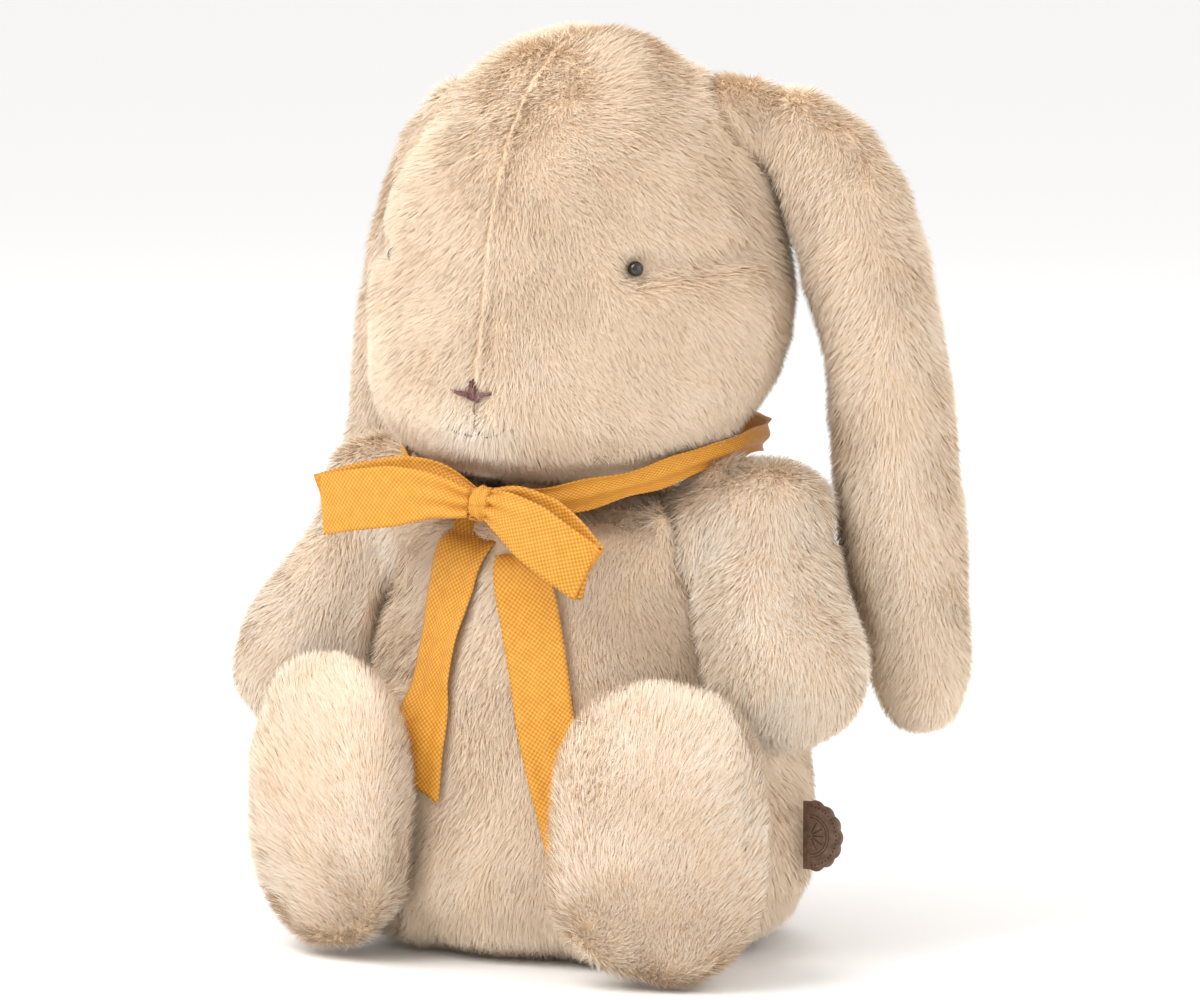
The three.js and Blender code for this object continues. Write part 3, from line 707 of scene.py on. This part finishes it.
def headComb(roots, up):
    flow = np.tile([0.0, 0.25, -0.8], (len(roots), 1))
    flow[:, 0] += np.clip(roots[:, 0] / (60 * mm), -1, 1) * 0.5
    parting = np.exp(-((roots[:, 0] / (5 * mm)) ** 2)) * (roots[:, 2] > nose[2])
    flow[:, 0] += np.sign(roots[:, 0]) * parting * 0.35  # the nap parts along the middle seam
    for eye in eyes.values():
        away = roots - eye
        near = 0.8 * np.exp(-((np.linalg.norm(away, axis=1) / (4.5 * mm)) ** 2))[:, None]
        flow = flow * (1 - near) + unit(away) * near
    return flow


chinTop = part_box("head_panel_left")[0].z + 24 * mm  # below this the hair grows longer, over the neckband


def headTrim(roots):
    away = (roots - nose) * [0.8, 1, 1.1]
    kept = 1 - 0.72 * np.exp(-((np.linalg.norm(away, axis=1) / (8.5 * mm)) ** 4))
    kept *= 1 + 0.5 * np.clip((chinTop - roots[:, 2]) / (14 * mm), 0, 1)
    for eye in eyes.values():
        kept *= 1 - 0.35 * np.exp(-((np.linalg.norm(roots - eye, axis=1) / (4 * mm)) ** 2))
    return kept


def headTone(roots):
    muzzle = nose + np.array([0, 4 * mm, -10 * mm])
    return 0.45 * np.exp(-((np.linalg.norm(roots - muzzle, axis=1) / (14 * mm)) ** 2))


# Where the ends of the bow lie on the belly: across and up from the middle of the floor.
tailPlaces = {
    "right": [(-9, 146), (-16, 135), (-20, 121), (-22.5, 105), (-23.5, 88), (-24, 72), (-25, 57)],
    "left": [(5, 143), (8, 130), (12, 113), (17, 97), (22, 80), (28, 62), (34, 44)],
}


# Under the ribbon the pile is pressed flat.
def torsoTrim(roots):
    kept = np.ones(len(roots))
    for stations in tailPlaces.values():
        line = [(x * mm, 0, z * mm) for x, z in stations]
        away = fromLine(roots * [1, 0, 1], line)[0]
        kept *= 1 - 0.6 * np.exp(-((away / (10.5 * mm)) ** 6)) * (roots[:, 1] < 0)
    return kept


def footComb(side):
    def comb(roots, up):
        return np.tile([0.25 * sides[side], 0.1, 0.9], (len(roots), 1))

    return comb


# The limbs' hairs are painted lighter than the head's: painted light, for the more light their nap catches.
def limbPaintedLight(roots):
    return np.full(len(roots), 0.3)


def earTone(roots):
    return np.full(len(roots), 0.12)


total = growFur("head", 1, headComb, headTrim, headTone)
total += growFur("torso", 2, downwards, torsoTrim)
total += growFur("bob", 3, downwards)
for i, side in enumerate(sides):
    total += growFur(f"ear_{side}", 4 + i, downwards, tone=earTone)
    total += growFur(f"arm_{side}", 6 + i, downwards, tone=limbPaintedLight)
    total += growFur(f"leg_{side}", 8 + i, footComb(side), tone=limbPaintedLight)
print("hairs grown", total)


ribbon = {"width": 20 * mm, "thickness": 0.35 * mm, "gathered": 8 * mm, "pleats": 2.5, "lift": 3.2 * mm}
knot = centerOf("bow_knot")


# A smooth line through stations, as count points.
def smoothLine(stations, count):
    stations = np.array(stations, float)
    padded = np.vstack([2 * stations[0] - stations[1], stations, 2 * stations[-1] - stations[-2]])
    steps = np.linspace(0, len(stations) - 1 - 1e-9, count)
    i = steps.astype(int)
    t = (steps - i)[:, None]
    a, b, c, d = padded[i], padded[i + 1], padded[i + 2], padded[i + 3]
    return 0.5 * (2 * b + (c - a) * t + (2 * a - 5 * b + 4 * c - d) * t**2 + (3 * b - a - 3 * c + d) * t**3)


# A strip of ribbon along a line. across points along its width and pleat is how deep its gathers are.
def ribbonStrip(name, line, across, widths, pleat, node, pleats=ribbon["pleats"], slant=0.0):
    count, columns = len(line), 15
    along = unit(np.gradient(line, axis=0))
    across = unit(across - along * (across * along).sum(axis=1, keepdims=True))
    out = np.cross(along, across)
    run = np.concatenate([[0], np.cumsum(np.linalg.norm(np.diff(line, axis=0), axis=1))])
    j = np.linspace(-0.5, 0.5, columns)
    waves = np.cos(2 * math.pi * pleats * j)
    grid = line[:, None] + across[:, None] * (j[None, :, None] * widths[:, None, None])
    grid += out[:, None] * (waves[None, :, None] * pleat[:, None, None])
    cut = np.clip((run / run[-1] - 0.8) / 0.2, 0, 1) * slant
    grid += along[:, None] * (j[None, :, None] * cut[:, None, None])
    vertices = grid.reshape(-1, 3)
    faces = []
    for i in range(count - 1):
        for k in range(columns - 1):
            low, high = i * columns + k, (i + 1) * columns + k
            faces.append((low, low + 1, high + 1, high))
    piece = addMesh(name, vertices, faces, ribbonFinish, "torso")
    sheet = piece.data.uv_layers.new(name="weave")
    corners = np.empty(len(piece.data.loops), np.int32)
    piece.data.loops.foreach_get("vertex_index", corners)
    row, column = corners // columns, corners % columns
    spots = np.stack([j[column] * ribbon["width"], run[row] + j[column] * cut[row]], axis=1)
    sheet.data.foreach_set("uv", spots.astype(np.float32).ravel())
    thick = piece.modifiers.new("thickness", "SOLIDIFY")
    thick.thickness = ribbon["thickness"]
    thick.offset = 0
    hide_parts(node)


def bowLoop(side, tipPlace, rise, fullness):
    start = np.array(knot) + np.array([sides[side] * 3.4 * mm, -1 * mm, 0])
    tipPlace = np.array(tipPlace)
    out = tipPlace - start
    front, back = np.array([0, -fullness, 0]), np.array([0, fullness * 0.8, 1.5 * mm])
    up = np.array([0, 0, rise])
    stations = [
        start + [0, -1.5 * mm, 0],
        start + out * 0.3 + front + up,
        start + out * 0.72 + front * 0.9 + up * 0.6,
        tipPlace + front * 0.35,
        tipPlace + out * 0.02,
        tipPlace + back * 0.3,
        start + out * 0.7 + back + up * 0.8,
        start + out * 0.3 + back * 0.8 + up * 1.4,
        start + [0, 2 * mm, 0],
    ]
    line = smoothLine(stations, 90)
    share = np.clip(np.linalg.norm(line - start, axis=1) / np.linalg.norm(out), 0, 1)
    spread = np.clip(share / 0.5, 0, 1) ** 0.7
    widths = ribbon["gathered"] + (ribbon["width"] - ribbon["gathered"]) * spread
    across = np.cross(unit(out[None])[0], [0, -1.0, 0]) * sides[side]
    across, pleat = np.tile(across, (len(line), 1)), 1.5 * mm * (1 - spread)
    ribbonStrip(f"bow_{side}_loop", line, across, widths, pleat, f"bow_loop_{side}")


torsoTree = trees["torso"]


def bellyFront(x, z):
    hit = torsoTree.ray_cast(Vector((x, -0.3, z)), Vector((0, 1, 0)))[0]
    return hit.y if hit else -0.05


def bowTail(side, stations, slant):
    path = []
    for x, z in stations:
        y = bellyFront(x * mm, z * mm) - ribbon["lift"]
        path.append((x * mm, y, z * mm))
    start = np.array(knot) + np.array([path[0][0] * 0.4, -2.5 * mm, -2 * mm])
    line = smoothLine([start] + path, 80)
    share = np.linspace(0, 1, len(line))
    spread = np.clip(share / 0.22, 0, 1) ** 0.8
    widths = ribbon["gathered"] * 0.8 + (ribbon["width"] - ribbon["gathered"] * 0.8) * spread
    along = unit(np.gradient(line, axis=0))
    slopes = [bellyFront(p[0] + 4 * mm, p[2]) - bellyFront(p[0] - 4 * mm, p[2]) for p in line]
    out = np.array([[slope / (8 * mm), -1.0, 0.0] for slope in slopes])
    out[share < 0.25] = (0, -1, 0)
    across = np.cross(out, along)
    pleat = 1.2 * mm * (1 - spread) + 0.25 * mm
    ribbonStrip(f"bow_{side}_tail", line, across, widths, pleat, f"bow_tail_{side}", slant=slant)


def neckband():
    low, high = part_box("ribbon_neckband")
    radius = (high.x - low.x) / 2 - 1.6 * mm
    turns = np.linspace(-math.pi / 2 + 0.06, 1.5 * math.pi - 0.06, 160)
    line = np.stack([radius * np.cos(turns), radius * np.sin(turns), np.zeros_like(turns)], axis=1)
    frontward = np.clip(-line[:, 1] / radius, 0, 1) ** 1.6
    line[:, 2] = (high.z - 2.7 * mm) - (high.z - low.z - 5.4 * mm) * frontward
    line += 0.5 * mm * np.stack([lumps(91 + k, 25 * mm)(line) for k in range(3)], axis=1)
    across = np.tile([0.0, 0.0, 1.0], (len(line), 1))
    across[:, :2] = line[:, :2] / radius * 0.25
    widths = np.full(len(line), 9 * mm) + 1.5 * mm * lumps(95, 30 * mm)(line)
    pleat = np.full(len(line), 0.8 * mm)
    ribbonStrip("ribbon_band", line, across, widths, pleat, "ribbon_neckband", pleats=1.5)


def bowKnot():
    # a short stretch of ribbon wrapped once round the middle of the bow
    columns, rows = 16, 40
    vertices, faces = [], []
    for i in range(rows):
        turn = 2 * math.pi * i / rows
        for k in range(columns):
            s = k / (columns - 1) * 2 - 1
            swell = (1 - abs(s) ** 3.2) ** 0.5 if abs(s) < 1 else 0.0
            ripple = 1 + 0.07 * math.cos(s * 9 + 0.6 * math.sin(turn))
            y, z = -math.cos(turn) * 3.9 * mm * swell * ripple, math.sin(turn) * 5.6 * mm * swell * ripple
            vertices.append((knot.x + s * 4.4 * mm + 0.5 * mm * math.sin(turn), knot.y + y, knot.z + z))
    for i in range(rows):
        n = (i + 1) % rows
        for k in range(columns - 1):
            faces.append((i * columns + k, i * columns + k + 1, n * columns + k + 1, n * columns + k))
    piece = addMesh("bow_middle", vertices, faces, ribbonFinish, "torso")
    sheet = piece.data.uv_layers.new(name="weave")
    corners = np.empty(len(piece.data.loops), np.int32)
    piece.data.loops.foreach_get("vertex_index", corners)
    column, row = corners % columns, corners // columns
    spots = np.stack([column / columns * ribbon["width"], row / rows * 30 * mm], axis=1)
    sheet.data.foreach_set("uv", spots.astype(np.float32).ravel())
    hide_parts("bow_knot")


bowLoop("right", (-62 * mm, knot.y + 5 * mm, knot.z - 4.5 * mm), 3 * mm, 4.5 * mm)
bowLoop("left", (40 * mm, knot.y - 3 * mm, knot.z - 19 * mm), 2 * mm, 4 * mm)
bowTail("right", tailPlaces["right"], 8 * mm)
bowTail("left", tailPlaces["left"], -9 * mm)
neckband()
bowKnot()
print("ribbon tied")


def beadEye(side):
    center, out = beadCenter(side)
    center = center - out * bead["pulledIn"]
    turn = out.to_track_quat("Z", "Y").to_matrix().to_4x4()
    made = bmesh.new()
    bmesh.ops.create_uvsphere(made, u_segments=32, v_segments=20, radius=bead["radius"])
    for vertex in made.verts:
        vertex.co.z = vertex.co.z * bead["flatness"] + bead["proud"]
    bmesh.ops.transform(made, matrix=Matrix.Translation(center) @ turn, verts=made.verts)
    mesh = bpy.data.meshes.new(f"eye_{side}_bead")
    made.to_mesh(mesh)
    made.free()
    mesh.polygons.foreach_set("use_smooth", np.ones(len(mesh.polygons), bool))
    mesh.materials.append(beadFinish)
    piece = bpy.data.objects.new(f"eye_{side}_bead", mesh)
    bpy.context.scene.collection.objects.link(piece)
    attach(piece, "head")
    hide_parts(f"eye_{side}")
    frame["nodes"][f"eye_washer_{side}"].data.materials.clear()
    frame["nodes"][f"eye_washer_{side}"].data.materials.append(washerFinish)


def onFace(x, z, lift):
    hit = trees["head"].ray_cast(Vector((x, -0.3, z)), Vector((0, 1, 0)))
    return hit[0] + hit[1] * lift


# Sews thick thread from place to place over the face. Each stitch is a round tube that dives in at
# both ends.
def sew(name, stitches, radius, finish, node):
    vertices, faces, ring = [], [], 8
    for (x0, z0), (x1, z1), lift in stitches:
        steps = 12
        line = []
        for i in range(steps + 1):
            t = i / steps
            rise = lift * math.sin(math.pi * t) ** 0.5 - 0.4 * mm
            line.append(onFace(x0 + (x1 - x0) * t, z0 + (z1 - z0) * t, rise))
        line = np.array([tuple(p) for p in line])
        along = unit(np.gradient(line, axis=0))
        first = unit(np.cross(along, [0.0, -1.0, 0.0]))
        second = np.cross(along, first)
        start = len(vertices)
        for i in range(steps + 1):
            thin = radius * (0.55 + 0.45 * math.sin(math.pi * i / steps) ** 0.6)
            for k in range(ring):
                turn = 2 * math.pi * k / ring
                vertices.append(line[i] + (first[i] * math.cos(turn) + second[i] * math.sin(turn)) * thin)
        for i in range(steps):
            for k in range(ring):
                n = (k + 1) % ring
                low, high = start + i * ring, start + (i + 1) * ring
                faces.append((low + k, low + n, high + n, high + k))
    piece = addMesh(name, vertices, faces, finish, "head")
    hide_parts(node)


thread = {"nose": 0.42 * mm, "mouth": 0.4 * mm, "mouthDrop": 12.5 * mm, "smile": 11 * mm}


def embroider():
    x, z = nose[0], nose[2]
    stitches = []
    for k in range(4):  # satin stitches run up, left and right from the point of the nose
        share = k / 3 - 0.5
        top = z + 5.6 * mm - abs(share) * 3 * mm
        end = (x - 1.6 * mm + share * 2.2 * mm, top)
        stitches.append(((x + share * 1.4 * mm, z - 2.4 * mm), end, 2.8 * mm))
    for sign in (-1, 1):
        for k in range(4):
            drop = k * 0.5 * mm
            end = (x + sign * (9 * mm - drop * 1.4), z + 1.6 * mm - drop * 0.9)
            stitches.append(((x - sign * 0.6 * mm, z - 0.8 * mm - drop), end, 2.7 * mm))
    sew("nose_satin", stitches, thread["nose"], noseFinish, "nose_embroidery")
    low = z - thread["mouthDrop"]
    line = [((x, z - 2 * mm), (x + 0.3 * mm, z - 7 * mm), 2.4 * mm)]
    line.append(((x + 0.3 * mm, z - 6.6 * mm), (x + 0.4 * mm, low), 2.1 * mm))
    for sign in (-1, 1):
        line.append(((x + 0.4 * mm, low), (x + sign * 6 * mm, low - 0.4 * mm), 1.9 * mm))
        end = (x + sign * thread["smile"], low + 2 * mm)
        line.append(((x + sign * 6 * mm, low - 0.4 * mm), end, 1.6 * mm))
    sew("mouth_line", line, thread["mouth"], mouthFinish, "mouth_stitch")


label = {"tucked": 2.6 * mm, "scallops": 7, "scallopDepth": 0.7 * mm, "dots": 22, "dotRadius": 0.33 * mm}


def makeTag():
    low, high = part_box("side_tag")
    radius = (high.z - low.z) / 2
    middle = Vector((low.x, (low.y + high.y) / 2, (low.z + high.z) / 2))
    thick = (high.y - low.y) / 2
    steps = label["scallops"] * 10
    rim = []
    for i in range(steps + 1):
        turn = -math.pi / 2 + math.pi * i / steps
        wave = abs(math.sin(label["scallops"] * math.pi * i / steps))
        reach = radius - label["scallopDepth"] * (1 - wave) - 0.2 * mm
        rim.append((reach * math.cos(turn), reach * math.sin(turn)))
    rim = [(-label["tucked"], rim[0][1]), *rim, (-label["tucked"], rim[-1][1])]
    vertices, faces = [], []
    layers = [(0.0, 0.94), (0.35, 0.985), (1.0, 1.0), (1.65, 0.985), (2.0, 0.94)]
    for level, grow in layers:
        for x, z in rim:
            vertices.append((middle.x + x * grow, middle.y - thick + level * thick, middle.z + z * grow))
    count = len(rim)
    for i in range(len(layers) - 1):
        for k in range(count):
            n = (k + 1) % count
            faces.append((i * count + k, i * count + n, (i + 1) * count + n, (i + 1) * count + k))
    faces.append(tuple(reversed(range(count))))
    faces.append(tuple(range((len(layers) - 1) * count, len(layers) * count)))
    plate = addMesh("tag_leather", vertices, faces, tagFinish, "tag")
    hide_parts("side_tag")
    made = bmesh.new()
    spots = []
    for i in range(label["dots"]):
        turn = -math.pi / 2 + math.pi * (i + 0.5) / label["dots"]
        spots.append((0.8 * radius * math.cos(turn), 0.8 * radius * math.sin(turn), label["dotRadius"]))
    for ring in (0.58, 0.5):
        for i in range(40):
            turn = -math.pi / 2 + math.pi * (i + 0.5) / 40
            spots.append((ring * radius * math.cos(turn), ring * radius * math.sin(turn), 0.24 * mm))
    for i in range(5):
        turn = math.radians(-60 + 30 * i)
        for reach in np.linspace(0.12, 0.4, 7):
            spots.append((reach * radius * math.cos(turn), reach * radius * math.sin(turn), 0.3 * mm))
    for x, z, size in spots:
        for face in (-1, 1):
            place = Matrix.Translation((middle.x + x, middle.y + face * thick, middle.z + z))
            flat = place @ Matrix.Diagonal((1, 0.3, 1, 1))
            bmesh.ops.create_icosphere(made, subdivisions=1, radius=size, matrix=flat)
    mesh = bpy.data.meshes.new("tag_dots")
    made.to_mesh(mesh)
    made.free()
    mesh.materials.append(inkFinish)
    piece = bpy.data.objects.new("tag_dots", mesh)
    bpy.context.scene.collection.objects.link(piece)
    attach(piece, "tag")


for side in sides:
    beadEye(side)
embroider()
makeTag()
print("trims sewn on")


floorReach = 16  # metres each way, so that every view ends on it


def addFloor():
    mesh = bpy.data.meshes.new("floor")
    corners = [(floorReach * x, floorReach * y, 0) for x, y in ((-1, -1), (1, -1), (1, 1), (-1, 1))]
    mesh.from_pydata(corners, [], [(0, 1, 2, 3)])
    paper = Finish("floorPaper", Roughness=0.9)
    paper.shader.inputs["Base Color"].default_value = (0.96, 0.96, 0.96, 1)
    mesh.materials.append(paper.material)
    floor = bpy.data.objects.new("floor", mesh)
    bpy.context.scene.collection.objects.link(floor)


lamps = {
    "key": {
        "azimuth": -25, "elevation": 48,
        "distance": 1.6, "size": 1.1, "power": 19,
        "tint": (1.0, 0.985, 0.965),
    },
    "fill": {
        "azimuth": 85, "elevation": 20,
        "distance": 2.0, "size": 1.6, "power": 9,
        "tint": (1.0, 0.965, 0.93),
    },
    "back": {
        "azimuth": 200, "elevation": 45,
        "distance": 1.8, "size": 1.0, "power": 7,
        "tint": (1.0, 0.98, 0.96),
    },
}


def addLamps():
    for name, lamp in lamps.items():
        turn, tilt = math.radians(lamp["azimuth"]), math.radians(lamp["elevation"])
        away = Vector((math.sin(turn) * math.cos(tilt), -math.cos(turn) * math.cos(tilt), math.sin(tilt)))
        light = bpy.data.lights.new(name, "AREA")
        light.energy = lamp["power"]
        light.size = lamp["size"]
        light.color = lamp["tint"]
        holder = bpy.data.objects.new(name, light)
        holder.location = Vector((0, 0, 0.15)) + away * lamp["distance"]
        holder.rotation_euler = (-away).to_track_quat("-Z", "Y").to_euler()
        bpy.context.scene.collection.objects.link(holder)
    world = bpy.data.worlds.new("studio")
    world.use_nodes = True
    world.node_tree.nodes["Background"].inputs["Color"].default_value = (1.0, 0.993, 0.983, 1)
    world.node_tree.nodes["Background"].inputs["Strength"].default_value = 0.96
    bpy.context.scene.world = world


addFloor()
addLamps()
bpy.context.scene.view_settings.view_transform = "Standard"
